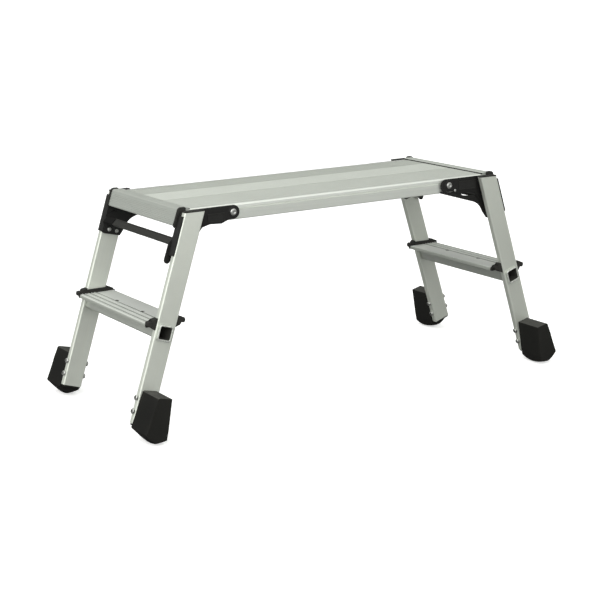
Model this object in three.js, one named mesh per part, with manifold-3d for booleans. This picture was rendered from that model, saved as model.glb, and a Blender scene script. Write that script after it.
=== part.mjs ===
// Folding aluminium work platform: a long narrow deck on two folding leg frames, each with a step.
// Millimetres, +Z up. X runs along the deck, Y across it, and the origin is on the floor under its centre.

import * as THREE from 'three';
import { mergeVertices } from 'three/addons/utils/BufferGeometryUtils.js';
import Module from 'manifold-3d';

const wasm = await Module();
wasm.setup();

// ---------------------------------------------------------------- driving dimensions
const GAP = 0.3;                 // clearance between pieces that touch

const DECK_TOP = 500;
const DECK_HALF_LENGTH = 436;
const DECK_HALF_WIDTH = 162.7;
const RAIL_BOTTOM = 463;
const RAIL_WIDTH = 15.4;
const RAIL_WALL = 2;
const RAIL_FLANGE = 20;          // ledge inside each rail that carries planks and cross members
const PLANK_THICKNESS = 21;
const PLANK_SKIN = 1.8;
const PLANK_SEAMS = [-31, 70];   // where the three planks meet, across the deck
const PLANK_CELL = 32;           // pitch of the webs inside a plank
const CROSS_MEMBER_WIDTH = 44;

const NOSE_INNER = 425;          // inner edge of the end trim, which the planks reach
const NOSE_TOP = 504;
const NOSE_TOE = [464, 466];     // lowest outer corner of the sloping face
const NOSE_CAP_THICKNESS = 6.2;
const NOSE_CAP_PROUD = 2.6;

const LEAN = THREE.MathUtils.degToRad(17.9);
const STILE_DEPTH = 48.7;
const STILE_THICKNESS = 15;
const STILE_WALL = 1.8;
const STILE_INNER_Y = 175;
const STILE_FOOT = [574.4, 30.2];  // centre of the stile's lower end, X and Z
const STILE_TOP = 496.5;
const PLUG_THICKNESS = 2.6;

const PIVOT = [313, 482.5];      // fold pivot, X and Z
const PIVOT_RADIUS = 5;
const BRACKET_Y = [165.9, 168.7];            // the bracket's arm, beside the rail
const BRACKET_PAD_Y = [168.5, STILE_INNER_Y - GAP];  // its thicker foot, against the stile
const BRACKET_END_RADIUS = 16;
const BRACKET_BOTTOM = 384;                  // lower edge, up the stile
const FLANGE_FACE = STILE_DEPTH / 2 + 2.9;   // outer face of the flange, across the stile
const FLANGE_ALONG = [384, 474];             // its lower and upper end, up the stile

const TREAD_TOP = 255.6;
const TREAD_X = [453, 546];
const TREAD_APRON = 8;           // depth of the tread's turned-down edges
const TREAD_SHEET = 2.6;
const TREAD_HALF_LENGTH = 170;
const RIDGE_COUNT = 5;
const RIDGE_PITCH = 8;
const RIDGE_HEIGHT = 1.2;

const BRACE_ALONG_STILE = 212.5; // brace tube centre, measured up the stile from its lower end
const BRACE_SIZE = 33;
const BRACE_WALL = 2;
const BRACE_CORNER = 4;
const BRACE_FLARE = 38.5;

const RIVET_ALONG_STILE = [27.3, 58.4];
const RIVET_RADIUS = 3;
const RIVET_HEAD = [6.3, 5];     // radius and height

const FOOT_END_Y = 265;
const FOOT_BRIDGE = 4.5;         // depth of the web under the stile's end that joins tongue and block
const SOLE_CENTRE = [574, 230];  // where the rounded sole meets the floor, X and Y

const RELEASE_LAYER = [163.1, 165.6];
const RELEASE_PIVOT = [11.5, 393];   // across and up the stile
const RELEASE_PIVOT_RADIUS = 4;
const BAR_TOP = [467.5, 441.2];  // upper outboard corner of the bar, X and Z
const BAR_SIZE = [17.5, 6];      // width down its sloping face, and thickness
const LOCK_STUD = [303, 472];    // X and Z
const LOCK_STUD_RADIUS = 2.5;

// ---------------------------------------------------------------- materials
const metal = (color, roughness) => new THREE.MeshStandardMaterial({ color, roughness, metalness: 1 });
const plastic = (color, roughness) => new THREE.MeshStandardMaterial({ color, roughness, metalness: 0 });

const FINISH = {
  deck: () => metal(0xc5cac2, 0.42),
  rail: () => metal(0xbfc4bb, 0.38),
  nosing: () => metal(0xa9aea6, 0.5),
  stile: () => metal(0xb4b9b0, 0.4),
  tread: () => metal(0xb9beb5, 0.42),
  steel: () => metal(0xb8bab6, 0.3),
  black: () => plastic(0x242421, 0.5),
  rubber: () => plastic(0x2a2a28, 0.85),
};

// ---------------------------------------------------------------- geometry helpers
const X_AXIS = new THREE.Vector3(1, 0, 0);
const Y_AXIS = new THREE.Vector3(0, 1, 0);
const Z_AXIS = new THREE.Vector3(0, 0, 1);

function polygon(points) {
  return new THREE.Shape(points.map(([a, b]) => new THREE.Vector2(a, b)));
}

function rectangle(a0, a1, b0, b1) {
  return polygon([[a0, b0], [a1, b0], [a1, b1], [a0, b1]]);
}

// The same outline without the doubled points that an arc leaves where it meets a line.
function withoutDoubles(points) {
  return points.filter((point, i) => point.distanceTo(points[(i + 1) % points.length]) > 1e-5);
}

function bar(points, from, to, steps = 1) {
  const outline = new THREE.Shape(withoutDoubles(points));
  const geometry = new THREE.ExtrudeGeometry(outline, { depth: to - from, steps, bevelEnabled: false });
  return geometry.translate(0, 0, from);
}

// A shape drawn out along Z, with its holes cut right through.
function prism(shape, depth, curveSegments = 6, steps = 1) {
  const { shape: outer, holes } = shape.extractPoints(curveSegments);
  const body = bar(outer, 0, depth, steps);
  return holes.length === 0 ? body : cut(body, holes.map((hole) => bar(hole, -1, depth + 1)));
}

// A shape in the XZ plane, drawn out from y0 to y1.
function drawnAcross(shape, y0, y1, steps = 1) {
  return prism(shape, y1 - y0, 6, steps).rotateX(Math.PI / 2).translate(0, y1, 0);
}

// A shape in the YZ plane, drawn out along the deck from x0 to x1.
function drawnAlong(shape, x0, x1) {
  const turn = new THREE.Matrix4().makeBasis(Y_AXIS, Z_AXIS, X_AXIS);
  return prism(shape, x1 - x0).applyMatrix4(turn).translate(x0, 0, 0);
}

// A turned piece whose axis runs along Y: profile points are [radius, y].
function turned(profile, segments = 24) {
  const points = profile.map(([r, y]) => new THREE.Vector2(r, y));
  return new THREE.LatheGeometry(points, segments);
}

function roundedRectangle(width, height, radius) {
  const [w, h] = [width / 2, height / 2];
  const shape = new THREE.Shape();
  shape.moveTo(-w + radius, -h);
  shape.lineTo(w - radius, -h);
  shape.absarc(w - radius, -h + radius, radius, -Math.PI / 2, 0);
  shape.lineTo(w, h - radius);
  shape.absarc(w - radius, h - radius, radius, 0, Math.PI / 2);
  shape.lineTo(-w + radius, h);
  shape.absarc(-w + radius, h - radius, radius, Math.PI / 2, Math.PI);
  shape.lineTo(-w, -h + radius);
  shape.absarc(-w + radius, -h + radius, radius, Math.PI, Math.PI * 1.5);
  return shape;
}

// A closed tube section: a rounded rectangle with a smaller one cut out of it.
function tubeSection(width, height, wall, radius) {
  const shape = roundedRectangle(width, height, radius);
  shape.holes.push(roundedRectangle(width - 2 * wall, height - 2 * wall, Math.max(radius - wall, 0.6)));
  return shape;
}

function solid(geometry) {
  const bare = geometry.clone();
  bare.deleteAttribute('normal');
  bare.deleteAttribute('uv');
  const merged = mergeVertices(bare, 1e-4);
  const vertProperties = new Float32Array(merged.attributes.position.array);
  const triVerts = new Uint32Array(merged.index.array);
  return new wasm.Manifold(new wasm.Mesh({ numProp: 3, vertProperties, triVerts }));
}

function surface(manifold) {
  const mesh = manifold.getMesh();
  const geometry = new THREE.BufferGeometry();
  geometry.setAttribute('position', new THREE.BufferAttribute(new Float32Array(mesh.vertProperties), 3));
  geometry.setIndex(new THREE.BufferAttribute(new Uint32Array(mesh.triVerts), 1));
  geometry.computeVertexNormals();
  return geometry;
}

function joined(geometries) {
  return surface(geometries.map(solid).reduce((whole, piece) => whole.add(piece)));
}

function cut(geometry, tools) {
  return surface(tools.map(solid).reduce((whole, tool) => whole.subtract(tool), solid(geometry)));
}

function cylinderAcross(radius, x, y0, y1, z, segments = 20) {
  return new THREE.CylinderGeometry(radius, radius, y1 - y0, segments).translate(x, (y0 + y1) / 2, z);
}

function placed(parent, name, geometry, material) {
  const mesh = new THREE.Mesh(geometry, material);
  mesh.name = name;
  parent.add(mesh);
  return mesh;
}

// ---------------------------------------------------------------- the stile's own frame
// Across the stile (outboard positive) and along it (up from its lower end), as X and Z on the right leg.
const COS = Math.cos(LEAN);
const SIN = Math.sin(LEAN);

function onStile(across, along) {
  return [STILE_FOOT[0] + across * COS - along * SIN, STILE_FOOT[1] + across * SIN + along * COS];
}

function leaned(geometry) {
  return geometry.rotateY(-LEAN).translate(STILE_FOOT[0], 0, STILE_FOOT[1]);
}

// X of the stile's outboard or inboard edge at a height.
function stileEdge(z, side) {
  const across = side * STILE_DEPTH / 2;
  const along = (z - STILE_FOOT[1] - across * SIN) / COS;
  return onStile(across, along)[0];
}

// Mirrors a piece made for the +Y side to the -Y side and keeps its faces pointing out.
function mirroredAcross(geometry) {
  const copy = geometry.clone().scale(1, -1, 1);
  if (!copy.index) {
    const order = Array.from({ length: copy.attributes.position.count }, (_, i) => i);
    copy.setIndex(order);
  }
  const index = copy.index.array;
  for (let i = 0; i < index.length; i += 3) {
    [index[i + 1], index[i + 2]] = [index[i + 2], index[i + 1]];
  }
  copy.computeVertexNormals();
  return copy;
}

function onSide(geometry, side) {
  return side > 0 ? geometry : mirroredAcross(geometry);
}

// A running hole for a pin of the given radius.
function pivotHole(x, z, radius) {
  const hole = new THREE.Path();
  hole.absarc(x, z, radius + GAP, 0, Math.PI * 2);
  return hole;
}

// ---------------------------------------------------------------- deck
// One side rail: a hollow edge with a rounded nose, a fine groove along its face and an inner ledge.
function railSection() {
  const outer = DECK_HALF_WIDTH;
  const inner = outer - RAIL_WIDTH;
  const nose = 4.5;
  const groove = 488.5;
  const shape = new THREE.Shape();
  shape.moveTo(inner, DECK_TOP);
  shape.lineTo(inner, RAIL_BOTTOM + RAIL_WALL);
  shape.lineTo(inner - RAIL_FLANGE, RAIL_BOTTOM + RAIL_WALL);
  shape.lineTo(inner - RAIL_FLANGE, RAIL_BOTTOM);
  shape.lineTo(outer - 3.5, RAIL_BOTTOM);
  shape.lineTo(outer - 2, RAIL_BOTTOM + 2);
  shape.lineTo(outer, groove - 1.6);
  shape.lineTo(outer - 1.6, groove - 0.7);
  shape.lineTo(outer - 1.6, groove + 0.7);
  shape.lineTo(outer, groove + 1.6);
  shape.lineTo(outer, DECK_TOP - nose);
  shape.absarc(outer - nose, DECK_TOP - nose, nose, 0, Math.PI / 2);
  const hollow = [
    [inner + RAIL_WALL, RAIL_BOTTOM + RAIL_WALL],
    [inner + RAIL_WALL, DECK_TOP - RAIL_WALL],
    [outer - nose, DECK_TOP - RAIL_WALL],
    [outer - RAIL_WALL - 1.8, DECK_TOP - nose],
    [outer - RAIL_WALL - 2, RAIL_BOTTOM + RAIL_WALL],
  ];
  shape.holes.push(polygon(hollow));
  return shape;
}

function rail() {
  const [y0, y1] = [DECK_HALF_WIDTH - RAIL_WIDTH / 2, DECK_HALF_WIDTH + 5];
  const bores = [-PIVOT[0], PIVOT[0]].map((x) => cylinderAcross(PIVOT_RADIUS + GAP, x, y0, y1, PIVOT[1]));
  return cut(drawnAlong(railSection(), -DECK_HALF_LENGTH, DECK_HALF_LENGTH), bores);
}

// One plank: a hollow board with upright webs.
function plank(y0, y1) {
  const bottom = DECK_TOP - PLANK_THICKNESS;
  const shape = rectangle(y0, y1, bottom, DECK_TOP);
  const cells = Math.round((y1 - y0) / PLANK_CELL);
  const pitch = (y1 - y0 - PLANK_SKIN) / cells;
  for (let i = 0; i < cells; i += 1) {
    const left = y0 + PLANK_SKIN + i * pitch;
    const right = left + pitch - PLANK_SKIN;
    shape.holes.push(rectangle(left, right, bottom + PLANK_SKIN, DECK_TOP - PLANK_SKIN));
  }
  return drawnAlong(shape, GAP - NOSE_INNER, NOSE_INNER - GAP);
}

function crossMember() {
  const [bottom, top] = [RAIL_BOTTOM + RAIL_WALL + GAP, DECK_TOP - PLANK_THICKNESS - GAP];
  const shape = tubeSection(CROSS_MEMBER_WIDTH, top - bottom, 2, 2);
  const half = DECK_HALF_WIDTH - RAIL_WIDTH - GAP;
  return drawnAcross(shape, -half, half).translate(0, 0, (bottom + top) / 2);
}

// End trim, as its section on the right end: a lip over the planks, a round nose and a sloping face.
function nosingSection() {
  const [toeX, toeZ] = NOSE_TOE;
  const noseRadius = 7;
  const noseX = 447;
  const slope = Math.PI / 10;
  const shape = new THREE.Shape();
  shape.moveTo(NOSE_INNER, DECK_TOP + GAP);
  shape.lineTo(DECK_HALF_LENGTH + GAP, DECK_TOP + GAP);
  shape.lineTo(DECK_HALF_LENGTH + GAP, toeZ - 1);
  shape.lineTo(toeX - 2, toeZ - 1);
  shape.lineTo(toeX, toeZ + 1);
  shape.absarc(noseX, NOSE_TOP - noseRadius, noseRadius, slope, Math.PI / 2);
  shape.lineTo(NOSE_INNER + 2, NOSE_TOP - 0.4);
  shape.lineTo(NOSE_INNER, NOSE_TOP - 2);
  const wall = 2.6;
  const hollow = [
    [DECK_HALF_LENGTH + GAP + wall, toeZ - 1 + wall],
    [toeX - wall - 1.6, toeZ - 1 + wall],
    [noseX + noseRadius - wall - 0.6, NOSE_TOP - noseRadius],
    [noseX, NOSE_TOP - wall],
    [DECK_HALF_LENGTH + GAP + wall, NOSE_TOP - wall],
  ];
  shape.holes.push(polygon(hollow));
  return shape;
}

function nosing() {
  return drawnAcross(nosingSection(), -DECK_HALF_WIDTH, DECK_HALF_WIDTH);
}

// End cap of the nosing, on the +Y end of the right nosing: the nosing's outline, a little larger all round.
function nosingCap() {
  const proud = NOSE_CAP_PROUD;
  const [toeX, toeZ] = NOSE_TOE;
  const noseRadius = 9;
  const shape = new THREE.Shape();
  shape.moveTo(DECK_HALF_LENGTH, toeZ - 1 - proud);
  shape.lineTo(toeX + 1, toeZ - 1 - proud);
  shape.absarc(toeX - 0.4, toeZ + 1, 3.4, -Math.PI / 3, Math.PI / 10);
  shape.absarc(447, NOSE_TOP + proud - noseRadius, noseRadius, Math.PI / 10, Math.PI / 2);
  shape.lineTo(DECK_HALF_LENGTH + 2, NOSE_TOP + proud);
  shape.lineTo(DECK_HALF_LENGTH, NOSE_TOP + proud - 2);
  const y0 = DECK_HALF_WIDTH + GAP;
  return drawnAcross(shape, y0, y0 + NOSE_CAP_THICKNESS);
}

// Fold pivot pin on the +Y side: clip inside the hollow rail, shank, washer shoulder, low dimpled head.
function pivotPin() {
  const inner = DECK_HALF_WIDTH - 4.6;
  const outer = DECK_HALF_WIDTH + GAP;
  const plate = BRACKET_Y[0] - GAP;
  const head = BRACKET_Y[1] + GAP;
  const geometry = turned([
    [0, inner - 3], [8, inner - 3], [8, inner], [PIVOT_RADIUS, inner],
    [PIVOT_RADIUS, outer], [7, outer], [7, plate], [PIVOT_RADIUS, plate],
    [PIVOT_RADIUS, head], [8.2, head], [8.2, head + 1], [6.8, head + 2.2], [4.4, head + 2.6],
    [2.6, head + 1.2], [0, head + 1],
  ]);
  return geometry.translate(PIVOT[0], 0, PIVOT[1]);
}

// Stud on the rail's side, behind the bracket, that the lock lever's tip holds.
function lockStud() {
  const [inner, outer] = [DECK_HALF_WIDTH + GAP, BRACKET_Y[0] - GAP];
  const rim = LOCK_STUD_RADIUS - 0.5;
  const profile = [
    [0, inner], [LOCK_STUD_RADIUS, inner], [LOCK_STUD_RADIUS, outer - 0.5], [rim, outer], [0, outer],
  ];
  return turned(profile, 16).translate(LOCK_STUD[0], 0, LOCK_STUD[1]);
}

function deck() {
  const group = new THREE.Group();
  placed(group, 'side_rail_front', onSide(rail(), -1), FINISH.rail());
  placed(group, 'side_rail_rear', rail(), FINISH.rail());
  const edge = DECK_HALF_WIDTH - RAIL_WIDTH;
  const seams = [-edge, ...PLANK_SEAMS, edge];
  ['front', 'middle', 'rear'].forEach((place, i) => {
    placed(group, `deck_plank_${place}`, plank(seams[i] + GAP / 2, seams[i + 1] - GAP / 2), FINISH.deck());
  });
  placed(group, 'cross_member', crossMember(), FINISH.rail());
  for (const [end, turn] of [['right', 0], ['left', Math.PI]]) {
    const half = new THREE.Group();
    half.rotation.z = turn;
    group.add(half);
    const faces = turn === 0 ? [['rear', 1], ['front', -1]] : [['front', 1], ['rear', -1]];
    placed(half, `end_nosing_${end}`, nosing(), FINISH.nosing());
    for (const [face, side] of faces) {
      placed(half, `nosing_cap_${face}_${end}`, onSide(nosingCap(), side), FINISH.black());
      placed(half, `pivot_pin_${face}_${end}`, onSide(pivotPin(), side), FINISH.steel());
    }
    placed(half, `lock_stud_${end}`, onSide(lockStud(), -1), FINISH.steel());
  }
  return group;
}

// ---------------------------------------------------------------- leg frame pieces (right leg, +Y side)
const STILE_MIDDLE_Y = STILE_INNER_Y + STILE_THICKNESS / 2;

function crossBores(radius) {
  return RIVET_ALONG_STILE.map((along) => {
    const bore = new THREE.CylinderGeometry(radius, radius, STILE_DEPTH + 4, 16);
    return leaned(bore.rotateZ(Math.PI / 2).translate(0, STILE_MIDDLE_Y, along));
  });
}

// The room that the square brace tube needs through a piece.
function braceRoom(y0, y1) {
  const half = BRACE_SIZE / 2 + GAP;
  const room = rectangle(-half, half, BRACE_ALONG_STILE - half, BRACE_ALONG_STILE + half);
  return leaned(drawnAcross(room, y0, y1));
}

function stile() {
  const section = tubeSection(STILE_DEPTH, STILE_THICKNESS, STILE_WALL, 3);
  const length = 520;
  const tube = leaned(prism(section, length, 3).translate(0, STILE_MIDDLE_Y, 0));
  const above = new THREE.BoxGeometry(200, 60, 60);
  above.translate(stileEdge(STILE_TOP, 0), STILE_MIDDLE_Y, STILE_TOP + 30);
  const through = braceRoom(STILE_INNER_Y - 5, STILE_INNER_Y + STILE_THICKNESS + 5);
  return cut(tube, [above, through, ...crossBores(RIVET_RADIUS + GAP)]);
}

function stilePlug() {
  const z0 = STILE_TOP + GAP;
  const lid = [
    [stileEdge(z0, -1) + 0.5, z0], [stileEdge(z0, 1) - 0.5, z0],
    [stileEdge(z0, 1) - 1.5, z0 + PLUG_THICKNESS], [stileEdge(z0, -1) + 0.8, z0 + PLUG_THICKNESS],
  ];
  const wall = STILE_WALL + GAP + 0.2;
  const [y0, y1] = [STILE_INNER_Y, STILE_INNER_Y + STILE_THICKNESS];
  const inset = wall / COS;
  const low = STILE_TOP - 18;
  const core = [
    [stileEdge(low, -1) + inset, low], [stileEdge(low, 1) - inset, low],
    [stileEdge(z0, 1) - inset, z0 + 1], [stileEdge(z0, -1) + inset, z0 + 1],
  ];
  return joined([
    drawnAcross(polygon(lid), y0 + 0.5, y1 - 0.5),
    drawnAcross(polygon(core), y0 + wall, y1 - wall),
  ]);
}

// Outline of the bracket's foot on the stile, from its lower inboard corner round to the top.
function padOutline(inboard) {
  const outboard = STILE_DEPTH / 2;
  const top = PIVOT[1] + BRACKET_END_RADIUS;
  return [
    onStile(inboard, BRACKET_BOTTOM), onStile(outboard - 4, BRACKET_BOTTOM - 3),
    onStile(FLANGE_FACE, FLANGE_ALONG[0]), onStile(FLANGE_FACE, FLANGE_ALONG[1]),
    onStile(outboard, FLANGE_ALONG[1] + 6), [stileEdge(top, 1), top],
  ];
}

// Hinge bracket: an arm to the fold pivot, a thicker foot on the stile and a flange round the stile's edge.
function bracket(reach) {
  const [px, pz] = PIVOT;
  const inboard = 2 - STILE_DEPTH / 2;
  const arm = new THREE.Shape();
  arm.absarc(px - reach, pz, BRACKET_END_RADIUS, Math.PI / 2, Math.PI * 1.5);
  arm.lineTo(px + 12, pz - BRACKET_END_RADIUS);
  arm.lineTo(px + 31.5, pz - 23.5);
  arm.lineTo(px + 62, pz - 22);
  arm.lineTo(px + 82, pz - 27);
  arm.lineTo(...onStile(inboard - 8, 436));
  arm.lineTo(...onStile(inboard, 414));
  padOutline(inboard).forEach((point) => arm.lineTo(...point));
  arm.holes.push(pivotHole(px, pz, PIVOT_RADIUS));
  arm.holes.push(pivotHole(...onStile(...RELEASE_PIVOT), RELEASE_PIVOT_RADIUS));
  const top = pz + BRACKET_END_RADIUS;
  const pad = polygon([...padOutline(inboard), [stileEdge(top, -1) + 3, top], onStile(inboard, 450)]);
  pad.holes.push(pivotHole(...onStile(...RELEASE_PIVOT), RELEASE_PIVOT_RADIUS));
  const wrap = rectangle(STILE_DEPTH / 2 + GAP, FLANGE_FACE, ...FLANGE_ALONG);
  const whole = joined([
    drawnAcross(arm, ...BRACKET_Y),
    drawnAcross(pad, ...BRACKET_PAD_Y),
    leaned(drawnAcross(wrap, BRACKET_PAD_Y[0], STILE_INNER_Y + STILE_THICKNESS - 1)),
  ]);
  return cut(whole, [nosingRoom()]);
}

// The room that the nosing's end cap needs beside the bracket.
function nosingRoom() {
  const bottom = NOSE_TOE[1] - NOSE_CAP_PROUD - 1 - 2 * GAP;
  const shape = rectangle(DECK_HALF_LENGTH - 6 * GAP, DECK_HALF_LENGTH + 60, bottom, NOSE_TOP + 10);
  return drawnAcross(shape, DECK_HALF_WIDTH - 5, DECK_HALF_WIDTH + GAP + NOSE_CAP_THICKNESS + GAP);
}

// Foot: a rubber block beside the stile's lower end, joined by a low bridge to a tongue up inside it.
function footOutline() {
  const soleBack = 551.5;
  const soleFront = 600;
  const shape = new THREE.Shape();
  shape.moveTo(535, 103);
  shape.lineTo(546.5, 33);
  shape.lineTo(soleBack, 3.4);
  shape.quadraticCurveTo(SOLE_CENTRE[0] - 12, 0, SOLE_CENTRE[0], 0);
  shape.quadraticCurveTo(SOLE_CENTRE[0] + 10, 3, soleFront, 26);
  shape.lineTo(601, 30);
  shape.lineTo(588.5, 60);
  shape.lineTo(579, 85);
  shape.lineTo(568.5, 108.6);
  shape.lineTo(565, 110);
  return shape;
}

// Lifts the sole away from the floor towards both ends, so it rests on its middle.
function domed(geometry) {
  const position = geometry.attributes.position;
  const fade = 33;
  for (let i = 0; i < position.count; i += 1) {
    const z = position.getZ(i);
    const lift = 9 * ((position.getY(i) - SOLE_CENTRE[1]) / 37) ** 2;
    if (z < fade) {
      position.setZ(i, z + Math.min(lift, 17) * (1 - Math.max(z, 0) / fade));
    }
  }
  return geometry;
}

function settled(geometry) {
  geometry.computeBoundingBox();
  return geometry.translate(0, 0, -geometry.boundingBox.min.z);
}

function foot() {
  const outerFace = STILE_INNER_Y + STILE_THICKNESS + GAP;
  const block = settled(domed(drawnAcross(footOutline(), outerFace, FOOT_END_Y, 8)));
  const halfDepth = STILE_DEPTH / 2 - STILE_WALL - GAP - 0.1;
  const halfThickness = STILE_THICKNESS / 2 - STILE_WALL - GAP - 0.1;
  const core = rectangle(-halfDepth, halfDepth, -FOOT_BRIDGE, 76);
  const tongue = leaned(drawnAcross(core, STILE_MIDDLE_Y - halfThickness, STILE_MIDDLE_Y + halfThickness));
  const under = rectangle(-halfDepth, halfDepth, -FOOT_BRIDGE, -GAP);
  const bridge = leaned(drawnAcross(under, STILE_MIDDLE_Y, outerFace + 2));
  return cut(joined([block, tongue, bridge]), crossBores(RIVET_RADIUS + GAP));
}

// Tubular rivet through both narrow walls of the stile and the foot's tongue.
function footRivet(along) {
  const seat = STILE_DEPTH / 2 + GAP;
  const [radius, height] = RIVET_HEAD;
  const rim = radius - 1.2;
  const dish = RIVET_RADIUS;
  const geometry = turned([
    [0, -seat - height + 3], [dish, -seat - height + 3], [dish, -seat - height], [rim, -seat - height],
    [radius, -seat - height + 1.5], [radius, -seat], [RIVET_RADIUS, -seat],
    [RIVET_RADIUS, seat], [radius, seat], [radius, seat + height - 1.5], [rim, seat + height],
    [dish, seat + height], [dish, seat + height - 3], [0, seat + height - 3],
  ], 16);
  return leaned(geometry.rotateZ(-Math.PI / 2).translate(0, STILE_MIDDLE_Y, along));
}

// Step tread: a shallow channel, open below, with ridges along its outboard half.
function tread() {
  const [x0, x1] = TREAD_X;
  const under = TREAD_TOP - TREAD_SHEET;
  const bottom = TREAD_TOP - TREAD_APRON;
  const points = [
    [x0, bottom], [x0 + TREAD_SHEET, bottom], [x0 + TREAD_SHEET, under], [x1 - TREAD_SHEET, under],
    [x1 - TREAD_SHEET, bottom], [x1, bottom], [x1, TREAD_TOP - 3],
    [x1 - 1, TREAD_TOP - 0.8], [x1 - 3, TREAD_TOP],
  ];
  for (let i = 0; i < RIDGE_COUNT; i += 1) {
    const x = x1 - 5 - i * RIDGE_PITCH;
    points.push([x, TREAD_TOP], [x - 1.2, TREAD_TOP + RIDGE_HEIGHT]);
    points.push([x - 3, TREAD_TOP + RIDGE_HEIGHT], [x - 4.2, TREAD_TOP]);
  }
  points.push([x0 + 3, TREAD_TOP], [x0 + 1, TREAD_TOP - 0.8], [x0, TREAD_TOP - 3]);
  return drawnAcross(polygon(points), -TREAD_HALF_LENGTH, TREAD_HALF_LENGTH);
}

// End cap of the tread: an upstand against the stile's inner face, with a block and a nub past each edge.
function treadCap() {
  const [x0, x1] = TREAD_X;
  const plateY = [TREAD_HALF_LENGTH + GAP, STILE_INNER_Y - GAP];
  const plate = [
    [x0 - 1, TREAD_TOP - TREAD_APRON], [x1 + 1, TREAD_TOP - TREAD_APRON], [x1 + 2, TREAD_TOP - 4],
    [x1 + 1, TREAD_TOP + 0.5], [x1 - 5, TREAD_TOP + 6], [x1 - 10, TREAD_TOP + 9], [x0 + 16, TREAD_TOP + 9],
    [x0 + 10, TREAD_TOP + 6], [x0 - 1, TREAD_TOP + 0.5], [x0 - 2, TREAD_TOP - 4],
  ];
  const lobe = (side) => {
    const edge = (z) => stileEdge(z, side) + side * 0.5;
    const tip = side > 0 ? x1 + 2 : x0 + 2;
    const neck = tip - side * 13;
    return [
      [edge(242), 242], [neck, 246], [neck + side * 3, 251], [tip - side * 5, 249.5],
      [tip - side, 251.5], [tip, 256], [tip - side, 260.5], [tip - side * 5, 262.5],
      [neck + side * 3, 261], [neck, 266], [edge(268), 268],
    ];
  };
  const wings = [1, -1].map((side) => {
    return drawnAcross(polygon(lobe(side)), plateY[0] + 1, STILE_INNER_Y + STILE_THICKNESS - 2);
  });
  return cut(joined([drawnAcross(polygon(plate), ...plateY), ...wings]), [braceRoom(160, 200)]);
}

function braceTube() {
  const half = STILE_INNER_Y + STILE_THICKNESS + GAP;
  const section = tubeSection(BRACE_SIZE, BRACE_SIZE, BRACE_WALL, BRACE_CORNER);
  const tube = drawnAcross(section, -half - 2.6, half + 2.6);
  const lip = (BRACE_FLARE - BRACE_SIZE) / 2;
  const ring = tubeSection(BRACE_FLARE, BRACE_FLARE, lip + BRACE_WALL, BRACE_CORNER + lip);
  const flares = [drawnAcross(ring, half, half + 3), drawnAcross(ring, -half - 3, -half)];
  return leaned(joined([tube, ...flares]).translate(0, 0, BRACE_ALONG_STILE));
}

// ---------------------------------------------------------------- release gear pieces (right leg)
function releasePivotHole() {
  return pivotHole(...onStile(...RELEASE_PIVOT), RELEASE_PIVOT_RADIUS);
}

// A point on the bar's section: down its sloping outboard face, and in behind that face.
function onBar(down, behind) {
  const slope = Math.SQRT1_2;
  return [BAR_TOP[0] + (down - behind) * slope, BAR_TOP[1] - (down + behind) * slope];
}

// Flat bar across the leg, under the deck's end, its shallow rims turned outboard and up.
function releaseBar() {
  const [width, thickness] = BAR_SIZE;
  const rim = 2;
  const section = polygon([
    onBar(0, 0), onBar(rim, 0), onBar(rim + 0.8, 1), onBar(width - rim - 0.8, 1), onBar(width - rim, 0),
    onBar(width, 0), onBar(width, thickness), onBar(width - rim, thickness), onBar(width - rim, 3.4),
    onBar(rim, 3.4), onBar(rim, thickness), onBar(0, thickness),
  ]);
  const half = RELEASE_LAYER[0] - GAP;
  return drawnAcross(section, -half, half);
}

// Long lock lever: from the bar, past its pivot, to a tip beyond the fold pivot.
function lockLever() {
  const shape = new THREE.Shape();
  shape.absarc(291, 465.8, 2.6, Math.PI * 0.42, Math.PI * 1.42);
  shape.lineTo(396, 432.5);
  shape.quadraticCurveTo(416, 426, 425, 405);
  shape.lineTo(...onStile(-STILE_DEPTH / 2 + 3, BRACKET_BOTTOM + 3));
  shape.lineTo(...onStile(-STILE_DEPTH / 2 + 7, BRACKET_BOTTOM));
  shape.lineTo(...onStile(STILE_DEPTH / 2 - 4, BRACKET_BOTTOM));
  shape.lineTo(...onBar(BAR_SIZE[0], 0));
  shape.lineTo(...BAR_TOP);
  shape.lineTo(...onStile(6, 442));
  shape.lineTo(418, 449);
  shape.lineTo(376, 450.4);
  shape.lineTo(360, 452.4);
  shape.lineTo(351, 458.6);
  shape.lineTo(331, 464.4);
  shape.lineTo(325, 464.8);
  shape.lineTo(318, 464);
  shape.holes.push(releasePivotHole());
  return drawnAcross(shape, ...RELEASE_LAYER);
}

// Short lever on the other end of the bar, which turns on its own pivot and ends in a rounded tail.
function releaseTail() {
  const shape = new THREE.Shape();
  const tip = onStile(25.5, 371);
  shape.moveTo(...BAR_TOP);
  shape.lineTo(...onStile(8, 432));
  shape.lineTo(...onStile(-1, 420));
  shape.lineTo(...onStile(-1, 386));
  shape.lineTo(...onStile(12, 382));
  shape.absarc(tip[0], tip[1], 7.7, Math.PI * 1.15, Math.PI * 2.1);
  shape.lineTo(...onBar(BAR_SIZE[0], 0));
  shape.holes.push(releasePivotHole());
  return drawnAcross(shape, ...RELEASE_LAYER);
}

// Rivet that the lever or tail turns on, held in the bracket.
function releasePin() {
  const plate = BRACKET_PAD_Y[1];
  const face = RELEASE_LAYER[0] - GAP;
  const radius = RELEASE_PIVOT_RADIUS;
  const geometry = turned([
    [0, face - 2.6], [2.4, face - 2.4], [4.8, face - 1.4], [5.4, face], [radius, face],
    [radius, plate], [0, plate],
  ], 16);
  const [x, z] = onStile(...RELEASE_PIVOT);
  return geometry.translate(x, 0, z);
}

// ---------------------------------------------------------------- one leg, at either end
// The long lever is on the -Y side of the right leg; the left leg is the same frame turned half round.
const PLAIN_SIDE = 1;
const LEVER_SIDE = -1;
const LEVER_SIDE_REACH = 10;

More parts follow.
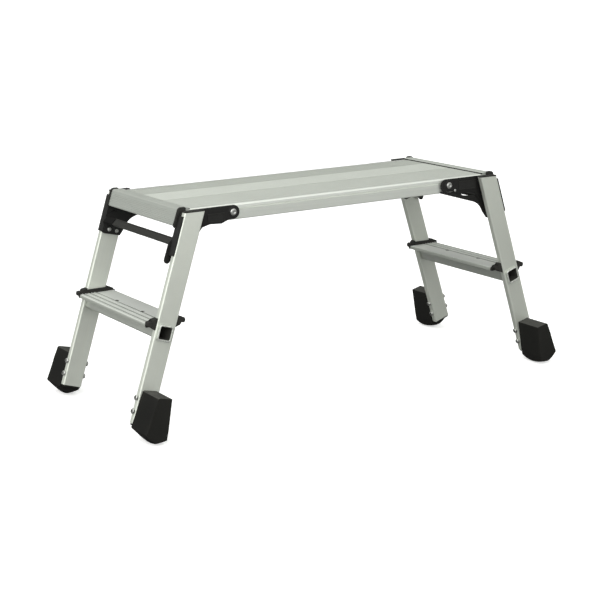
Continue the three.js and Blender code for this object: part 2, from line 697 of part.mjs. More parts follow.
function leg(end, turn) {
  const group = new THREE.Group();
  group.rotation.z = turn;
  const face = (side) => (side * Math.cos(turn) > 0 ? 'rear' : 'front');
  for (const side of [PLAIN_SIDE, LEVER_SIDE]) {
    const place = `${face(side)}_${end}`;
    const reach = side === LEVER_SIDE ? LEVER_SIDE_REACH : 0;
    placed(group, `stile_${place}`, onSide(stile(), side), FINISH.stile());
    placed(group, `stile_plug_${place}`, onSide(stilePlug(), side), FINISH.black());
    placed(group, `bracket_${place}`, onSide(bracket(reach), side), FINISH.black());
    placed(group, `foot_${place}`, onSide(foot(), side), FINISH.rubber());
    RIVET_ALONG_STILE.forEach((along, i) => {
      const name = `foot_rivet_${['low', 'high'][i]}_${place}`;
      placed(group, name, onSide(footRivet(along), side), FINISH.steel());
    });
    placed(group, `tread_cap_${place}`, onSide(treadCap(), side), FINISH.black());
    placed(group, `release_pin_${place}`, onSide(releasePin(), side), FINISH.steel());
  }
  placed(group, `step_tread_${end}`, tread(), FINISH.tread());
  placed(group, `brace_tube_${end}`, braceTube(), FINISH.stile());
  placed(group, `release_bar_${end}`, releaseBar(), FINISH.black());
  placed(group, `lock_lever_${end}`, onSide(lockLever(), LEVER_SIDE), FINISH.black());
  placed(group, `release_tail_${end}`, releaseTail(), FINISH.black());
  return group;
}

const platform = new THREE.Group();
platform.add(deck());
platform.add(leg('right', 0));
platform.add(leg('left', Math.PI));

export default platform;
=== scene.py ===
import math

import bpy
from mathutils import Matrix, Vector


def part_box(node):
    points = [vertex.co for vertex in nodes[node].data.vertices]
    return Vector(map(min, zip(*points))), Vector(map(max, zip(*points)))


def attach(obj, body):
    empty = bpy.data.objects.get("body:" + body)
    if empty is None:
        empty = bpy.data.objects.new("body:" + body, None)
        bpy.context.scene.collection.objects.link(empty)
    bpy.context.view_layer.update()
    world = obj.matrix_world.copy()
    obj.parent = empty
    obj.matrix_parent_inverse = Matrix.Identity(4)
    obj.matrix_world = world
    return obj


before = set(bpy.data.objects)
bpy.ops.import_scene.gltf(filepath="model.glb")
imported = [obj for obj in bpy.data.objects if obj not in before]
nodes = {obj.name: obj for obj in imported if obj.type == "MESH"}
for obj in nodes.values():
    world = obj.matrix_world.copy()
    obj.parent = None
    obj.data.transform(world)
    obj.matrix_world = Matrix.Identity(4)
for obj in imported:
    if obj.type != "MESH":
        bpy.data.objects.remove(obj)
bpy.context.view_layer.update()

MM = 0.001
ENDS = {"right": 1, "left": -1}
LEVER_SIDE = -1            # the side of the right leg, along Y, that the long lock lever is on
LEAN = math.radians(17.9)  # the stiles' lean from upright, as in the CAD


# ---------------------------------------------------------------- materials
class Graph:
    """A material under construction: adds shader nodes and links them."""

    def __init__(self, name):
        self.material = bpy.data.materials.new(name)
        self.material.use_nodes = True
        self.tree = self.material.node_tree
        self.tree.nodes.clear()
        output = self.add("ShaderNodeOutputMaterial")
        self.shader = self.add("ShaderNodeBsdfPrincipled")
        self.link(self.shader.outputs["BSDF"], output.inputs["Surface"])

    def add(self, kind, **inputs):
        node = self.tree.nodes.new(kind)
        for name, value in inputs.items():
            node.inputs[name.replace("_", " ")].default_value = value
        return node

    def link(self, source, target):
        self.tree.links.new(source, target)

    def coordinates(self, turn=0.0, scale=(1, 1, 1)):
        """Object coordinates, turned about Y so that grain runs along a leaning tube, then stretched."""
        source = self.add("ShaderNodeTexCoord").outputs["Object"]
        turned = self.add("ShaderNodeMapping", Rotation=(0, turn, 0))
        self.link(source, turned.inputs["Vector"])
        stretched = self.add("ShaderNodeMapping", Scale=scale)
        self.link(turned.outputs["Vector"], stretched.inputs["Vector"])
        return stretched.outputs["Vector"]

    def noise(self, vector, scale, detail):
        node = self.add("ShaderNodeTexNoise", Scale=scale, Detail=detail, Roughness=0.55)
        self.link(vector, node.inputs["Vector"])
        return node.outputs["Fac"]

    def ramp(self, value, stops):
        """Maps a value to a grey by (position, grey) stops."""
        node = self.add("ShaderNodeValToRGB")
        elements = node.color_ramp.elements
        while len(elements) > 1:
            elements.remove(elements[-1])
        for i, (position, shade) in enumerate(stops):
            element = elements[0] if i == 0 else elements.new(position)
            element.position = position
            element.color = grey(shade)
        self.link(value, node.inputs["Fac"])
        return node.outputs["Color"]

    def spread(self, value, low, high):
        """Maps 0.3..0.7 of a value, where noise mostly lies, to low..high."""
        return self.spread_from(value, 0.3, 0.7, low, high)

    def spread_from(self, value, start, end, low, high):
        """Maps start..end of a value to low..high."""
        node = self.add("ShaderNodeMapRange")
        for name, number in zip(("From Min", "From Max", "To Min", "To Max"), (start, end, low, high)):
            node.inputs[name].default_value = number
        self.link(value, node.inputs["Value"])
        return node.outputs["Result"]

    def mix(self, factor, a, b):
        node = self.add("ShaderNodeMix")
        node.data_type = "RGBA"
        for value, socket in ((factor, node.inputs[0]), (a, node.inputs[6]), (b, node.inputs[7])):
            if hasattr(value, "is_output"):
                self.link(value, socket)
            else:
                socket.default_value = value
        return node.outputs[2]

    def edge_wear_and_highlight(self, most):
        """How far a point is on an edge, from 0 to the given most: edges made paler by it are partly
        wear, partly a painted highlight.
        """
        edge = self.add("ShaderNodeNewGeometry").outputs["Pointiness"]
        return self.spread_from(edge, 0.52, 0.6, 0, most)

    def facing_up(self, most):
        """How far the surface faces up, from 0 to the given most."""
        split = self.add("ShaderNodeSeparateXYZ")
        self.link(self.add("ShaderNodeTexCoord").outputs["Normal"], split.inputs[0])
        return self.spread_from(split.outputs["Z"], 0.5, 0.95, 0, most)

    def bump(self, height, strength, distance):
        node = self.add("ShaderNodeBump", Strength=strength, Distance=distance)
        self.link(height, node.inputs["Height"])
        return node.outputs["Normal"]


def grey(value):
    return (value, value, value, 1)


def srgb(red, green, blue):
    """Linear colour of an 8-bit display colour."""
    def linear(channel):
        c = channel / 255
        return c / 12.92 if c <= 0.04045 else ((c + 0.055) / 1.055) ** 2.4
    return (linear(red), linear(green), linear(blue))


def shaded(color, amount):
    return tuple(channel * amount for channel in color)


LINE_SCALE = 900                # scales of the noise, in cells to the metre
BLOTCH_SCALE = 9
DUST_SCALE = 22
SCUFF_STRETCH = (40, 220, 60)   # stretches of its coordinates, along X, Y and Z
SCRATCH_STRETCH = (900, 120, 900)
DRAWN = 0.02                    # stretch along the grain, which draws the noise out into lines
# Colour that faces looking up are made paler towards.
PALE_TOP_COLOR = srgb(92, 92, 88)


def aluminium(name, color, grain, turn=0.0, roughness=0.42, top=None, metallic=0.6):
    """Satin aluminium: drawn lines along the grain, soft blotches, light scuffs, and paler edges that
    are partly wear, partly a painted highlight.

    A top colour is painted light: faces that look up are painted brighter, as if lit from above."""
    g = Graph(name)
    lines = g.noise(g.coordinates(turn, grain), LINE_SCALE, 3)
    blotch = g.noise(g.coordinates(turn), BLOTCH_SCALE, 5)
    scuffs = g.noise(g.coordinates(turn, SCUFF_STRETCH), 3.0, 2)
    base = (*color, 1)
    # Painted light: faces that look up get the brighter top colour.
    if top:
        base = g.mix(g.facing_up(1), base, (*top, 1))
    tone = g.mix(g.spread(blotch, 0.06, 0), base, grey(0))
    tone = g.mix(g.spread(lines, 0, 0.04), tone, grey(0))
    # Paler edges: partly wear, partly a painted highlight.
    tone = g.mix(g.edge_wear_and_highlight(0.5), tone, (*shaded(color, 1.3), 1))
    g.link(tone, g.shader.inputs["Base Color"])
    rough = g.ramp(scuffs, [(0.3, roughness - 0.06), (0.62, roughness), (0.72, roughness + 0.1)])
    g.link(rough, g.shader.inputs["Roughness"])
    g.link(g.bump(lines, 0.06, 0.0003), g.shader.inputs["Normal"])
    g.shader.inputs["Metallic"].default_value = metallic
    return g.material


def steel(name, color):
    """Plated rivet steel, a little scratched."""
    g = Graph(name)
    scratches = g.noise(g.coordinates(0.6, SCRATCH_STRETCH), 1.2, 3)
    tone = g.mix(g.spread(scratches, 0, 1), (*shaded(color, 0.8), 1), (*color, 1))
    g.link(tone, g.shader.inputs["Base Color"])
    g.link(g.spread(scratches, 0.2, 0.36), g.shader.inputs["Roughness"])
    g.shader.inputs["Metallic"].default_value = 0.9
    return g.material


def moulded(name, color, roughness, texture, wear, gloss=0.2, pale_top=0.0):
    """Black plastic, coated steel or rubber: fine texture, dust and blotches, and paler edges that are
    partly wear, partly a painted highlight.

    Texture is the scale of its pores, wear the share of paler blotches; the last argument sets how far
    faces that look up are made paler."""
    g = Graph(name)
    pores = g.noise(g.coordinates(), texture, 3)
    dust = g.noise(g.coordinates(0, (1, 1, 2)), DUST_SCALE, 6)
    tone = g.mix(g.spread(dust, 0, wear), (*color, 1), (*shaded(color, 1.9), 1))
    # Paler edges: partly wear, partly a painted highlight.
    tone = g.mix(g.edge_wear_and_highlight(0.35), tone, (*shaded(color, 4.0), 1))
    # Faces that look up are made paler.
    if pale_top:
        tone = g.mix(g.facing_up(pale_top), tone, (*PALE_TOP_COLOR, 1))
    g.link(tone, g.shader.inputs["Base Color"])
    g.link(g.spread(dust, roughness - 0.05, roughness + 0.1), g.shader.inputs["Roughness"])
    g.link(g.bump(pores, 0.25, 0.0005), g.shader.inputs["Normal"])
    g.shader.inputs["Specular IOR Level"].default_value = gloss
    return g.material


ACROSS = (1, DRAWN, 1)          # grain across the deck, along it, and along the stiles
ALONG = (DRAWN, 1, 1)
UPWARD = (1, 1, DRAWN)
NO_GRAIN = (1, 1, 1)

FINISH = {
    "deck_front": aluminium("deck_metal_front", srgb(205, 209, 201), ALONG),
    "deck_middle": aluminium("deck_metal_middle", srgb(216, 220, 212), ALONG),
    "deck_rear": aluminium("deck_metal_rear", srgb(192, 196, 188), ALONG),
    "rail": aluminium("rail_metal", srgb(233, 237, 229), ALONG, roughness=0.38),
    # Painted light: the nosing's and the tread's top colours make faces that look up brighter.
    "nosing": aluminium(
        "nosing_metal", srgb(182, 186, 179), ACROSS, roughness=0.46, top=srgb(204, 208, 200),
    ),
    "tread": aluminium(
        "tread_metal", srgb(166, 170, 162), ACROSS,
        roughness=0.5, top=srgb(249, 251, 247), metallic=0.25,
    ),
    "brace": aluminium("brace_metal", srgb(202, 206, 198), ACROSS, roughness=0.34),
    # Painted shade: the darker floor of the tread's grooves.
    "groove_shade": aluminium("groove_shade_metal", srgb(116, 119, 113), ACROSS, roughness=0.6),
    "collar": aluminium("collar_metal", srgb(212, 215, 208), NO_GRAIN, roughness=0.3),
    # The two stile finishes turn the grain each way; the left one is also a little paler: painted light,
    # as the light falls from the left.
    "stile_right": aluminium("stile_metal_right", srgb(216, 220, 210), UPWARD, LEAN, roughness=0.4),
    "stile_left": aluminium("stile_metal_left", srgb(223, 227, 217), UPWARD, -LEAN, roughness=0.4),
    "steel": steel("rivet_steel", srgb(196, 197, 193)),
    "dark_steel": steel("rivet_steel_dark", srgb(136, 138, 132)),
    "black": moulded("coated_black", srgb(24, 24, 23), 0.42, 1400, wear=0.3),
    "trim": moulded("trim_black", srgb(31, 31, 29), 0.5, 1100, wear=0.3),
    "rubber": moulded("foot_rubber", srgb(21, 21, 19), 0.66, 700, wear=0.5, gloss=0.15, pale_top=0.5),
    # Painted shade: the dark sheet lining the brace tube's bore.
    "bore_shade": moulded("bore_shade_black", srgb(46, 46, 43), 0.6, 1100, wear=0.3, gloss=0.1),
    # Painted shade: the darkest black, on the strip along the nosing joint and on the bar's sleeve.
    "shadow": moulded("painted_shadow_black", srgb(13, 13, 12), 0.6, 1100, wear=0.2, gloss=0.1),
}

# By the start of a CAD node's name: its finish and how far its edges are rounded, in millimetres.
DRESSING = (
    ("deck_plank_front", "deck_front", 0.3), ("deck_plank_middle", "deck_middle", 0.3),
    ("deck_plank_rear", "deck_rear", 0.3), ("side_rail", "rail", 0.4), ("cross_member", "rail", 0.4),
    ("end_nosing", "nosing", 0.6), ("step_tread", "tread", 0.5), ("brace_tube", "brace", 0.6),
    ("stile_plug", "trim", 0.5), ("foot_rivet", "steel", 0.3), ("pivot_pin", "steel", 0.3),
    ("release_pin", "steel", 0.3), ("lock_stud", "steel", 0.3), ("foot", "rubber", 2.4),
    ("bracket", "black", 0.6), ("lock_lever", "black", 0.5), ("release_tail", "black", 0.6),
    ("release_bar", "trim", 0.5), ("nosing_cap", "trim", 1.0), ("tread_cap", "trim", 1.2),
    ("stile_rear_left", "stile_left", 0.6), ("stile_front_left", "stile_left", 0.6),
    ("stile", "stile_right", 0.6),
)


def dress(obj, material):
    obj.data.materials.clear()
    obj.data.materials.append(material)


def soften(obj, width, segments=2):
    """Rounds the edges of a CAD node or piece by a width in millimetres."""
    for polygon in obj.data.polygons:
        polygon.use_smooth = True
    bevel = obj.modifiers.new("edges", "BEVEL")
    bevel.width = width * MM
    bevel.segments = segments
    bevel.limit_method = "ANGLE"
    bevel.angle_limit = math.radians(35)
    bevel.harden_normals = True


for name, node in nodes.items():
    finish, edge = next((finish, edge) for start, finish, edge in DRESSING if name.startswith(start))
    dress(node, FINISH[finish])
    soften(node, edge, 3 if edge > 1 else 2)


# ---------------------------------------------------------------- shapes of added pieces
# Points are millimetres in the right leg's frame; the left end is the same, turned half round.
def piece(name, parts, end, body, finish, edge=0):
    """One object made of closed parts, each a (points, faces) pair, which rides on a body.

    Its edges are rounded by edge, in millimetres."""
    turn = ENDS[end]
    points, faces = [], []
    for part_points, part_faces in parts:
        first = len(points)
        points += [Vector((x * turn, y * turn, z)) * MM for x, y, z in part_points]
        faces += [[first + i for i in face] for face in part_faces]
    mesh = bpy.data.meshes.new(name)
    mesh.from_pydata(points, [], faces)
    mesh.validate()
    obj = bpy.data.objects.new(name, mesh)
    bpy.context.scene.collection.objects.link(obj)
    dress(obj, FINISH[finish])
    if edge:
        soften(obj, edge)
    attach(obj, body)


def strip(outline, start, stop, place):
    """A closed bar: an outline of (a, b) points drawn from start to stop; place(a, b, c) places them."""
    count = len(outline)
    points = [place(a, b, c) for c in (start, stop) for a, b in outline]
    faces = [[i, (i + 1) % count, count + (i + 1) % count, count + i] for i in range(count)]
    faces += [list(range(count - 1, -1, -1)), list(range(count, 2 * count))]
    return facing_out(points, faces)


def lathe(profile, place, segments, ring=False):
    """A turned part: a profile of (radius, height) points, closed on its axis, or a closed ring."""
    points, faces = [], []
    count = len(profile)
    for i in range(segments):
        angle = 2 * math.pi * i / segments
        points += [place(r * math.cos(angle), r * math.sin(angle), h) for r, h in profile]
    for i in range(segments):
        near, far = i * count, (i + 1) % segments * count
        for j in range(count if ring else count - 1):
            k = (j + 1) % count
            faces.append([near + j, near + k, far + k, far + j])
    if not ring:
        faces.append([i * count for i in range(segments)])
        faces.append([i * count + count - 1 for i in reversed(range(segments))])
    return facing_out(points, faces)


def facing_out(points, faces):
    """Turns all the faces of a closed part over if they enclose a negative volume."""
    volume = 0.0
    corners = [Vector(point) for point in points]
    for face in faces:
        for i in range(1, len(face) - 1):
            a, b, c = (corners[face[k]] for k in (0, i, i + 1))
            volume += a.dot(b.cross(c))
    return points, faces if volume > 0 else [face[::-1] for face in faces]


def along_deck(y, z, x):
    return (x, y, z)


def across_deck(x, z, y):
    return (x, y, z)


def outward(x, z, side):
    """Places a turned part along Y, at (x, z), with its height measured from the deck's middle."""
    return lambda a, b, height: (x + a, side * height, z + b)


def middle_of(node):
    """X and Z of a CAD node's middle in the right leg's frame, in millimetres."""
    low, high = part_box(node)
    middle = (low + high) / 2 / MM
    return abs(middle.x), middle.z


STILE_FOOT = (574.4, 30.2)  # X and Z of the middle of a stile's lower end
SUNK = 0.3                  # how far an added detail reaches into the face that it stands on


def on_stile(across, along):
    """X and Z of a point across a stile, outboard positive, and along it from its lower end."""
    x0, z0 = STILE_FOOT
    return (
        x0 + across * math.cos(LEAN) - along * math.sin(LEAN),
        z0 + across * math.sin(LEAN) + along * math.cos(LEAN),
    )


def ridge(x, z, lean, half_width, height):
    """Section of one low ridge on a face whose outward normal leans up from the horizontal."""
    out = (math.cos(lean), math.sin(lean))
    up = (-out[1], out[0])

    def at(u, v):
        return (x + up[0] * u + out[0] * v, z + up[1] * u + out[1] * v)

    top = half_width * 0.5
    return [
        at(-half_width, -SUNK), at(half_width, -SUNK), at(half_width, 0),
        at(top, height), at(-top, height), at(-half_width, 0),
    ]


# ---------------------------------------------------------------- deck and tread details
RIB_PITCH = 6.8
RIB_HEIGHT = 0.5
RIB_FOOT = 1.1       # half width of a rib at its foot, and at its top
RIB_CREST = 0.6
SKIN = 0.15          # how far a ribbed skin stands above the plank under it
SKIN_DEPTH = 0.7


def deck_ribs():
    """The planks' ribbed tops: fine anti-slip ridges along the deck."""
    for place in ("front", "middle", "rear"):
        low, high = (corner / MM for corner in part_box(f"deck_plank_{place}"))
        base = high.z + SKIN
        y0, y1 = low.y + 0.3, high.y - 0.3
        outline = [(y0, base - SKIN_DEPTH), (y0, base)]
        count = int((y1 - y0 - 3) // RIB_PITCH)
        start = (y0 + y1 - (count - 1) * RIB_PITCH) / 2
        for i in range(count):
            middle = start + i * RIB_PITCH
            outline += [(middle - RIB_FOOT, base), (middle - RIB_CREST, base + RIB_HEIGHT)]
            outline += [(middle + RIB_CREST, base + RIB_HEIGHT), (middle + RIB_FOOT, base)]
        outline += [(y1, base), (y1, base - SKIN_DEPTH)]
        part = strip(outline, low.x + 0.1, high.x - 0.1, along_deck)
        piece(f"deck_ribs_{place}", [part], "right", "deck", f"deck_{place}")


def nosing_joint_shade(end):
    """Black strip between the planks and the lip of the end nosing: painted shade along the joint."""
    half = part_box(f"end_nosing_{end}")[1].y / MM - 0.4
    inner = abs(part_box("deck_plank_middle")[1].x) / MM
    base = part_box("deck_plank_middle")[1].z / MM
    section = ((-2.6, -0.2), (0.6, -0.2), (0.6, 2.2), (-0.6, 2.4), (-2.0, 1.6), (-2.6, 0.8))
    outline = [(inner + a, base + b) for a, b in section]
    part = strip(outline, -half, half, across_deck)
    piece(f"nosing_joint_shade_{end}", [part], end, "deck", "shadow")


TREAD_GROOVES = 3
TREAD_PITCH = 16
FIRST_GROOVE = 11.1  # in from the tread's outboard edge
GROOVE_DEPTH = 1.2


def tread_groove_shade(end):
    """Matt, darker floors in every second of the tread's grooves: painted shade."""
    low, high = (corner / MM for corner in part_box(f"step_tread_{end}"))
    outboard = max(abs(low.x), abs(high.x))
    half = high.y - 0.5
    parts = []
    for i in range(TREAD_GROOVES):
        x = outboard - FIRST_GROOVE - i * TREAD_PITCH
        section = ridge(x, high.z - GROOVE_DEPTH, math.pi / 2, 1.8, 0.4)
        parts.append(strip(section, -half, half, across_deck))
    piece(f"tread_groove_shade_{end}", parts, end, f"leg_{end}", "groove_shade")


NOSE_TOE = (463.6, 468.0)    # X and Z of the lower and upper edge of the nosing's sloping face
NOSE_BROW = (454.2, 497.3)
NOSE_SLOPE = math.radians(18)
NOSE_FACE_RIDGES = 8
NOSE_TOP_RIDGES = (430.5, 435.0, 439.5, 444.0)


def nosing_ribs(end):
    """Fine ridges along each end nosing: on its sloping face and on its top."""
    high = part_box(f"end_nosing_{end}")[1] / MM
    half = high.y - 0.4
    parts = []
    for i in range(NOSE_FACE_RIDGES):
        t = (i + 0.5) / NOSE_FACE_RIDGES
        x, z = (a + (b - a) * t for a, b in zip(NOSE_TOE, NOSE_BROW))
        parts.append(strip(ridge(x, z, NOSE_SLOPE, 1.1, 0.45), -half, half, across_deck))
    for x in NOSE_TOP_RIDGES:
        section = ridge(x, high.z - 0.3, math.pi / 2, 1.1, 0.5)
        parts.append(strip(section, -half, half, across_deck))
    piece(f"nosing_ribs_{end}", parts, end, "deck", "nosing")


# ---------------------------------------------------------------- leg details
ARM_FACE = 168.7             # outer face of a bracket's arm, out from the deck's middle
LEVER_FACE = 163.1           # inner face of a release lever
PRESS_WIDTH = 2.2            # of the pressed frame's bars; then where it lies, X and then Z
PRESS_BY_LEVER = (344, 398, 468, 490)
PRESS_PLAIN = (336, 380, 464, 484)
STUD_AT = (332, 468)
TREAD_RIVET_AT = (500, 65)   # X, and Y to either side
BORE_HALF = 14.5             # half the width of the brace tube's bore
BORE_CORNER = 3.4
BORE_SHADE_DEPTH = 60
COLLAR_WIDTH = 4.4
RIVET_RADIUS = 6.3
RIVET_BORE = 2.9
BAR_TOP = (467.5, 441.2)     # X and Z of the release bar's upper outboard edge
SLEEVE = (162.4, 117.0)      # where the sleeve on the bar starts and stops, out from the deck's middle
LEVER_RIVET_AT = (-9.5, 393) # across the stile and along it


def face_name(end, side):
    """Front or rear: where a side of the right leg comes to lie at an end."""
    return "rear" if side * ENDS[end] > 0 else "front"


def from_face(face, profile):
    """A profile of (radius, height above a face) points, with its heights measured as the face's is."""
    return [(radius, face + height) for radius, height in profile]


def pressed_frame(x0, x1, z0, z1, side):
    """The four bars of a raised frame on a bracket's arm, and the outline of the recess inside it."""
    y0, y1 = side * (ARM_FACE - SUNK), side * (ARM_FACE + 1.2)
    w = PRESS_WIDTH
    outlines = (
        [(x0, z0), (x1, z0), (x1 - w, z0 + w), (x0 + w, z0 + w)],
        [(x0, z1), (x0 + w, z1 - w), (x1 - w, z1 - w), (x1, z1)],
        [(x0, z0), (x0 + w, z0 + w), (x0 + w, z1 - w), (x0, z1)],
        [(x1, z0), (x1, z1), (x1 - w, z1 - w), (x1 - w, z0 + w)],
    )
    recess = [(x0 + w, z0 + w), (x1 - w, z0 + w), (x1 - w, z1 - w), (x0 + w, z1 - w)]
    return [strip(outline, y0, y1, across_deck) for outline in outlines], recess


def bracket_details(end, side):
    """Boss round the fold pivot, pressed frame on the arm and, on the lever side, a small stud."""
    place = f"{face_name(end, side)}_{end}"
    body = f"leg_{end}"
    x, z = middle_of(f"pivot_pin_{place}")
    boss = from_face(ARM_FACE, [(8.9, -SUNK), (8.9, 0.8), (9.6, 1.3), (11.4, 1.3), (12.8, -SUNK)])
    part = lathe(boss, outward(x, z, side), 32, True)
    piece(f"pivot_boss_{place}", [part], end, body, "black")
    if side == LEVER_SIDE:
        press, recess = pressed_frame(*PRESS_BY_LEVER, side)
        stud = from_face(ARM_FACE, [(0, -SUNK), (3.6, -SUNK), (3.6, 0.9), (2.4, 1.8), (0, 2.1)])
        part = lathe(stud, outward(*STUD_AT, side), 16)
        piece(f"bracket_stud_{place}", [part], end, body, "steel")
    else:
        press, recess = pressed_frame(*PRESS_PLAIN, side)
    # The frame is in the paler trim black: a painted highlight along its pressed ridges.
    piece(f"bracket_press_{place}", press, end, body, "trim", 0.2)
    panel = strip(recess, side * (ARM_FACE - 0.2), side * (ARM_FACE + 0.3), across_deck)
    piece(f"bracket_recess_{place}", [panel], end, body, "black")


def tread_rivets(end):
    """Two dimpled rivets that hold the tread to the brace tube below it."""
    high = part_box(f"step_tread_{end}")[1] / MM
    profile = [(0, -SUNK), (5.6, -SUNK), (5.6, 0.1), (4.4, 0.6), (3.0, 0.5), (2.2, 0.1), (0, 0.1)]
    head = from_face(high.z - GROOVE_DEPTH, profile)
    x0, reach = TREAD_RIVET_AT
    for side in (1, -1):
        name = f"tread_rivet_{face_name(end, side)}_{end}"
        part = lathe(head, lambda a, b, height, y=reach * side: (x0 + a, y + b, height), 20)
        piece(name, [part], end, f"leg_{end}", "dark_steel")


def rounded_square(half, radius):
    """Points round a square with rounded corners, each with the direction that faces out there."""
    path = []
    steps = 5
    for corner in range(4):
        middle = math.radians(45 + 90 * corner)
        a0 = math.sqrt(2) * (half - radius) * math.cos(middle)
        b0 = math.sqrt(2) * (half - radius) * math.sin(middle)
        for i in range(steps + 1):
            angle = middle + math.pi / 2 * (i / steps - 0.5)
            out = (math.cos(angle), math.sin(angle))
            path.append(((a0 + radius * out[0], b0 + radius * out[1]), out))
    return path


def swept_ring(path, profile, place):
    """A closed ring: a profile of (out, y) points carried round a path."""
    points = [
        place(at[0] + out[0] * reach, at[1] + out[1] * reach, y)
        for at, out in path for reach, y in profile
    ]
    faces = []
    count = len(profile)
    for i in range(len(path)):
        near, far = i * count, (i + 1) % len(path) * count
        for j in range(count):
            k = (j + 1) % count
            faces.append([near + j, near + k, far + k, far + j])
    return facing_out(points, faces)


def brace_ends(end):
    """At each end of the brace tube, a dark sheet in its bore, painted shade, and a bright bead round
    its mouth.
    """
    low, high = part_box(f"brace_tube_{end}")
    middle, tip = (low + high) / 2 / MM, high.y / MM

    def place(a, b, y):
        x = abs(middle.x) + a * math.cos(LEAN) - b * math.sin(LEAN)
        return (x, y, middle.z + a * math.sin(LEAN) + b * math.cos(LEAN))

    mouth = rounded_square(BORE_HALF, BORE_CORNER)
    for side in (1, -1):
        where = f"{face_name(end, side)}_{end}"
        bore_shade = [(0.6, -1), (-0.2, -1), (-0.2, -BORE_SHADE_DEPTH), (0.6, -BORE_SHADE_DEPTH)]
        bead = [
            (0.1, -1.2), (0.2, 0.3), (0.9, 1.1), (2.2, 1.2), (3.4, 0.7),
            (COLLAR_WIDTH, -0.8), (COLLAR_WIDTH, -2.6), (0.4, -2.6),
        ]
        for name, profile, finish, slot in (
            # The dark sheet in the bore is painted shade.
            ("brace_bore_shade", bore_shade, "bore_shade", "trim_black"),
            ("brace_collar", bead, "collar", "stile_aluminium"),
        ):
            ring = swept_ring(mouth, [(reach, side * y) for reach, y in from_face(tip, profile)], place)
            piece(f"{name}_{where}", [ring], end, f"leg_{end}", finish)


def rivet_bore_shade(end):
    """Black discs deep in the bores of the tubular foot rivets: painted shade."""
    parts = []
    for side in (1, -1):
        for level in ("low", "high"):
            low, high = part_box(f"foot_rivet_{level}_{face_name(end, side)}_{end}")
            middle, reach = (low + high) / 2 / MM, (high - low).x / 2 / MM
            x0, y0, z0 = abs(middle.x), side * abs(middle.y), middle.z
            tip = reach / math.cos(LEAN) - RIVET_RADIUS * math.tan(LEAN)
            for out in (1, -1):

                def place(a, b, height, out=out, x0=x0, y0=y0, z0=z0):
                    across = out * height
                    return (
                        x0 + across * math.cos(LEAN) - b * math.sin(LEAN),
                        y0 + a,
                        z0 + across * math.sin(LEAN) + b * math.cos(LEAN),
                    )

                disc = [(0, -3.2), (RIVET_BORE, -3.2), (RIVET_BORE, -2.5), (0, -2.5)]
                parts.append(lathe(from_face(tip, disc), place, 16))
    piece(f"foot_rivet_bore_shade_{end}", parts, end, f"leg_{end}", "black")


def on_bar(down, behind):
    """A point of the release bar's section: down its sloping face, and in behind it."""
    slope = math.sqrt(0.5)
    return (BAR_TOP[0] + (down - behind) * slope, BAR_TOP[1] - (down + behind) * slope)


def release_details(end):
    """Second rivet of the long lever, and the sleeve that joins the bar's end to it, painted the darkest
    black as shade.
    """
    place = f"{face_name(end, LEVER_SIDE)}_{end}"
    body = f"release_{end}"
    profile = [(0, SUNK), (4.7, SUNK), (4.7, -0.5), (3.8, -1.5), (2.4, -1.9), (1.5, -1.1), (0, -1.1)]
    part = lathe(from_face(LEVER_FACE, profile), outward(*on_stile(*LEVER_RIVET_AT), LEVER_SIDE), 16)
    piece(f"lever_rivet_{place}", [part], end, body, "steel")
    section = [
        (-0.9, 0.4), (0.4, -0.9), (17.1, -0.9), (18.4, 0.4),
        (18.4, 5.6), (17.1, 6.9), (0.4, 6.9), (-0.9, 5.6),
    ]
    outline = [on_bar(*point) for point in section]
    sleeve = strip(outline, LEVER_SIDE * SLEEVE[0], LEVER_SIDE * SLEEVE[1], across_deck)
    # The sleeve is painted the darkest black: painted shade.
    piece(f"bar_sleeve_{place}", [sleeve], end, body, "shadow", 0.6)


deck_ribs()
for end in ENDS:
    nosing_ribs(end)
    nosing_joint_shade(end)
    tread_groove_shade(end)
    tread_rivets(end)
    rivet_bore_shade(end)
    brace_ends(end)
    release_details(end)
    for side in (1, -1):
        bracket_details(end, side)


# ---------------------------------------------------------------- camera, floor and light
CAMERA_TURN = tuple(math.radians(angle) for angle in (-33.23, -13.67, -0.51))  # yaw, pitch and roll
CAMERA_PLACE = (-2.0014, -3.0180, 1.0803)
CAMERA_LENS = 88.8           # on a 36 mm wide sensor
LIGHT_FROM = (-0.7, -0.25, 0.65)
WORLD_RANGE = (0.35, 1.05)   # strength of the surroundings, from the dim side to the bright
WORLD_SIDES = (-0.8, 0.9)    # where those sides start: cosines of the angle from LIGHT_FROM
WORLD_COLOR = (0.99, 1.0, 0.98, 1)
KEY_POWER = 40
TOP_POWER = 12
FRONT_POWER = 62
FLOOR_BOUNCE = 0.22          # the floor's grey in the light that it throws back at the object
FLOOR_GLOW = 0.55            # its glow to the camera, which keeps the background white
FLOOR_HALF_WIDTH = 30.0
FLOOR_BACK = 12.0
FLOOR_CURVE = 4.0            # radius of the sweep up into the wall
WALL_TOP = 14.0


def aim(obj, place, target):
    obj.location = place
    obj.rotation_euler = (Vector(target) - Vector(place)).to_track_quat("-Z", "Y").to_euler()


def camera():
    """The camera stands at the front left and above the deck, and looks down at it a little."""
    yaw, pitch, roll = CAMERA_TURN
    level = Vector((-math.sin(yaw), math.cos(yaw), 0))
    forward = level * math.cos(pitch) + Vector((0, 0, math.sin(pitch)))
    side = forward.cross(Vector((0, 0, 1))).normalized()
    up = side.cross(forward)
    right = side * math.cos(roll) + up * math.sin(roll)
    above = up * math.cos(roll) - side * math.sin(roll)
    data = bpy.data.cameras.new("camera")
    data.sensor_width = 36
    data.lens = CAMERA_LENS
    data.clip_end = 50
    obj = bpy.data.objects.new("camera", data)
    bpy.context.scene.collection.objects.link(obj)
    turn = Matrix((right, above, -forward)).transposed().to_4x4()
    obj.matrix_world = Matrix.Translation(CAMERA_PLACE) @ turn
    bpy.context.scene.camera = obj


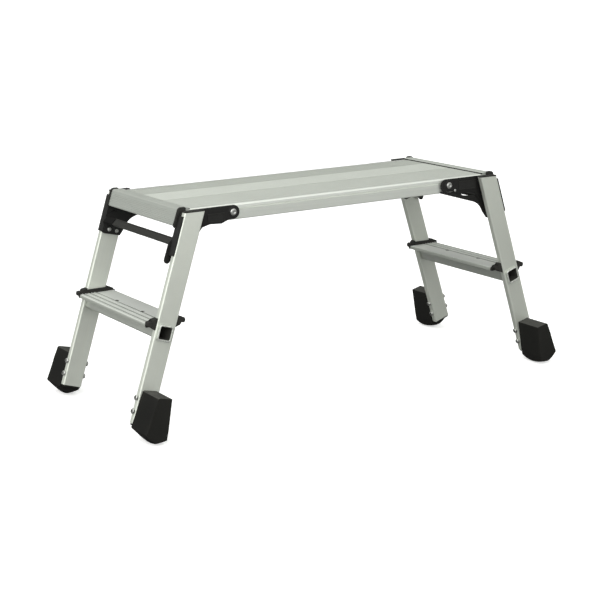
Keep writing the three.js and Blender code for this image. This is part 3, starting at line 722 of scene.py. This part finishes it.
def floor():
    """A white sweep: flat under the object and far beyond it, then curving up into a wall behind."""
    mesh = bpy.data.meshes.new("studio_floor")
    steps = 12
    profile = [(-FLOOR_HALF_WIDTH, 0.0), (FLOOR_BACK, 0.0)]
    profile += [
        (FLOOR_BACK + FLOOR_CURVE * math.sin(a), FLOOR_CURVE * (1 - math.cos(a)))
        for a in (math.pi / 2 * i / steps for i in range(1, steps + 1))
    ]
    profile.append((FLOOR_BACK + FLOOR_CURVE, WALL_TOP))
    turn = Matrix.Rotation(CAMERA_TURN[0], 3, "Z")
    sides = (-FLOOR_HALF_WIDTH, FLOOR_HALF_WIDTH)
    points = [turn @ Vector((x, y, z)) for y, z in profile for x in sides]
    faces = [(2 * i, 2 * i + 1, 2 * i + 3, 2 * i + 2) for i in range(len(profile) - 1)]
    mesh.from_pydata(points, [], faces)
    sweep = bpy.data.objects.new("studio_floor", mesh)
    bpy.context.scene.collection.objects.link(sweep)
    for polygon in mesh.polygons:
        polygon.use_smooth = True
    g = Graph("studio_floor")
    seen = g.add("ShaderNodeLightPath").outputs["Is Camera Ray"]
    grain = g.noise(g.coordinates(), 40, 2)
    pale = g.mix(grain, grey(0.90), grey(0.93))
    g.link(g.mix(seen, grey(FLOOR_BOUNCE), pale), g.shader.inputs["Base Color"])
    g.shader.inputs["Roughness"].default_value = 0.9
    g.shader.inputs["Specular IOR Level"].default_value = 0.1
    g.shader.inputs["Emission Color"].default_value = (0.995, 1.0, 0.985, 1)
    g.link(g.spread_from(seen, 0, 1, 0, FLOOR_GLOW), g.shader.inputs["Emission Strength"])
    mesh.materials.append(g.material)


def area_light(name, place, target, size, power):
    data = bpy.data.lights.new(name, "AREA")
    data.shape = "RECTANGLE"
    data.size, data.size_y = size
    data.energy = power
    light = bpy.data.objects.new(name, data)
    bpy.context.scene.collection.objects.link(light)
    aim(light, place, target)


def studio():
    """Soft light from the upper left and front, falling off to the right."""
    world = bpy.data.worlds.new("studio")
    bpy.context.scene.world = world
    world.use_nodes = True
    tree = world.node_tree
    background = tree.nodes["Background"]
    direction = tree.nodes.new("ShaderNodeTexCoord").outputs["Generated"]
    toward = tree.nodes.new("ShaderNodeVectorMath")
    toward.operation = "DOT_PRODUCT"
    toward.inputs[1].default_value = Vector(LIGHT_FROM).normalized()
    tree.links.new(direction, toward.inputs[0])
    ramp = tree.nodes.new("ShaderNodeMapRange")
    for name, value in zip(("From Min", "From Max", "To Min", "To Max"), WORLD_SIDES + WORLD_RANGE):
        ramp.inputs[name].default_value = value
    tree.links.new(toward.outputs["Value"], ramp.inputs["Value"])
    tree.links.new(ramp.outputs["Result"], background.inputs["Strength"])
    background.inputs["Color"].default_value = WORLD_COLOR
    area_light("key", (-2.8, -1.6, 2.8), (0, 0, 0.3), (3.6, 3.6), KEY_POWER)
    area_light("top", (-0.3, 0.5, 3.2), (0, 0, 0.4), (2.6, 1.6), TOP_POWER)
    area_light("front", (-0.9, -3.6, 1.65), (0, 0, 0.3), (7.0, 3.0), FRONT_POWER)
    bpy.context.scene.view_settings.view_transform = "Standard"
    bpy.context.scene.view_settings.look = "None"


camera()
floor()
studio()
